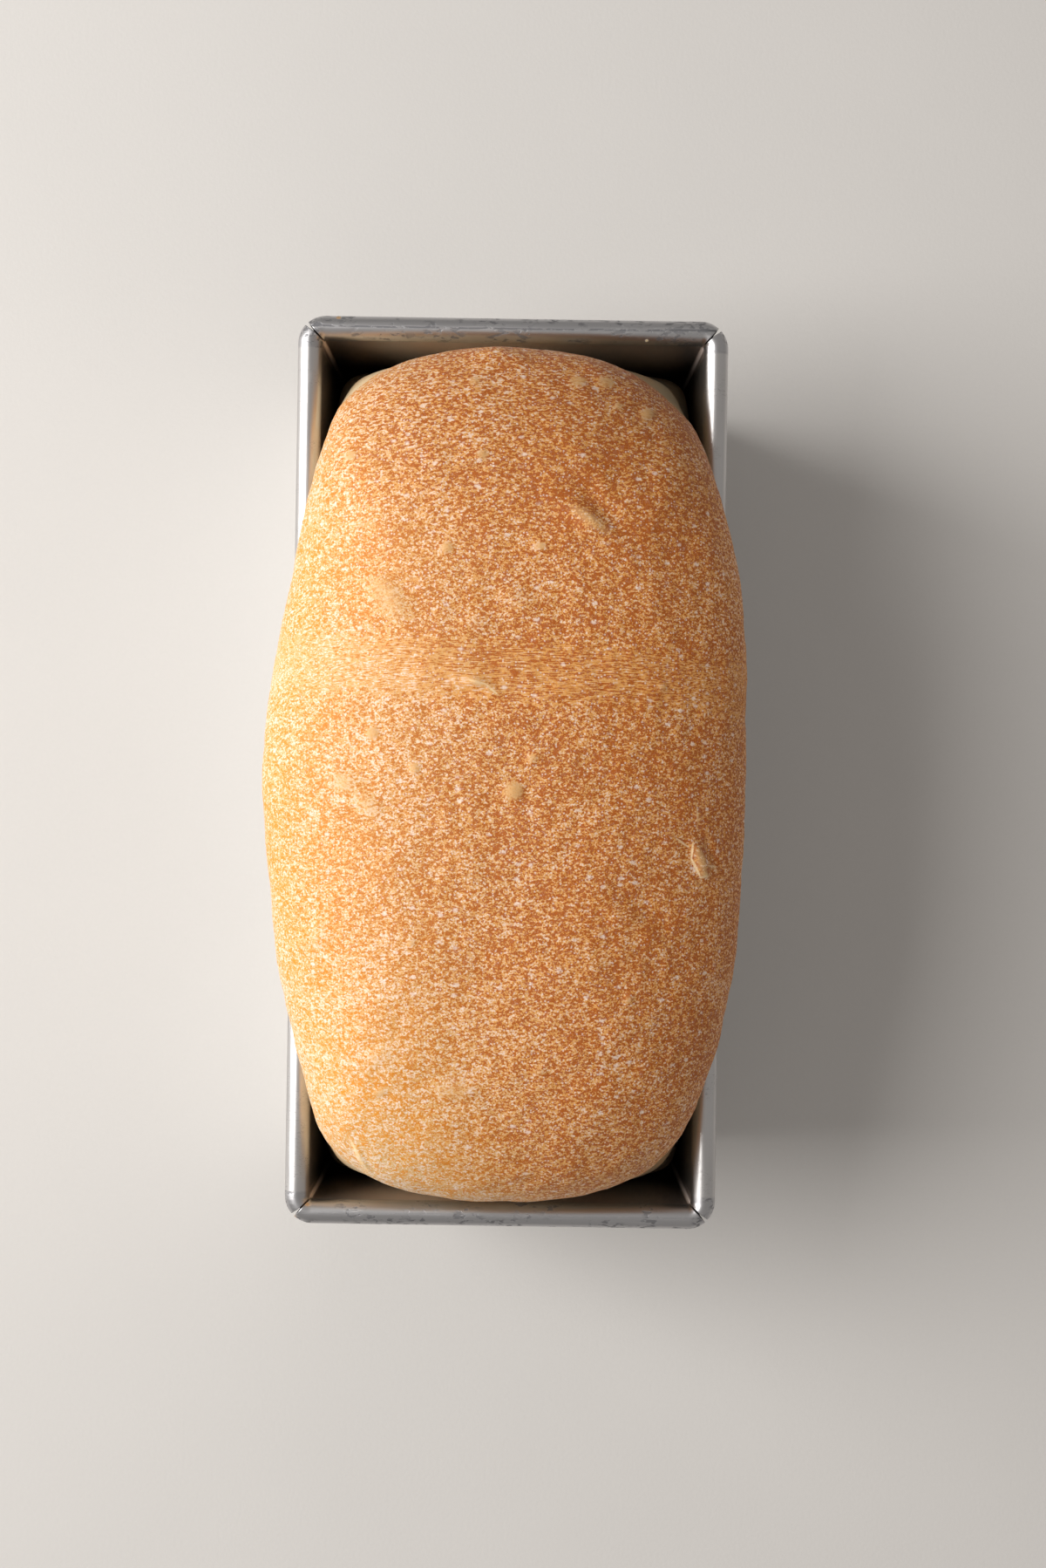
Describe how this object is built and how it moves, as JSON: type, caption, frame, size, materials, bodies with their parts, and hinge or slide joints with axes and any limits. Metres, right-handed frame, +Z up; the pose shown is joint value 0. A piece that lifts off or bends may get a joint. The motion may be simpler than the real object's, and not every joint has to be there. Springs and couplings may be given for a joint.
{
  "type": "sandwich bread loaf in its tin",
  "caption": "Domed white sandwich loaf with a speckled golden crust, risen over the rolled rim of its straight-sided metal loaf tin.",
  "frame": {"origin": "on the ground, under the middle of the tin", "axes": "+Y along the tin, +X across it, +Z up"},
  "size_m": [0.1231, 0.2402, 0.1498],
  "materials": {
    "crust": "baked bread crust, matt, speckled golden brown with paler freckles and blisters, cream below the rim",
    "tin": "satin silver tinned sheet steel with a rolled rim, lightly scuffed along the rim"
  },
  "bodies": {
    "root": {"loaf": "crust", "loaf_tin": "tin"}
  },
  "joints": []
}
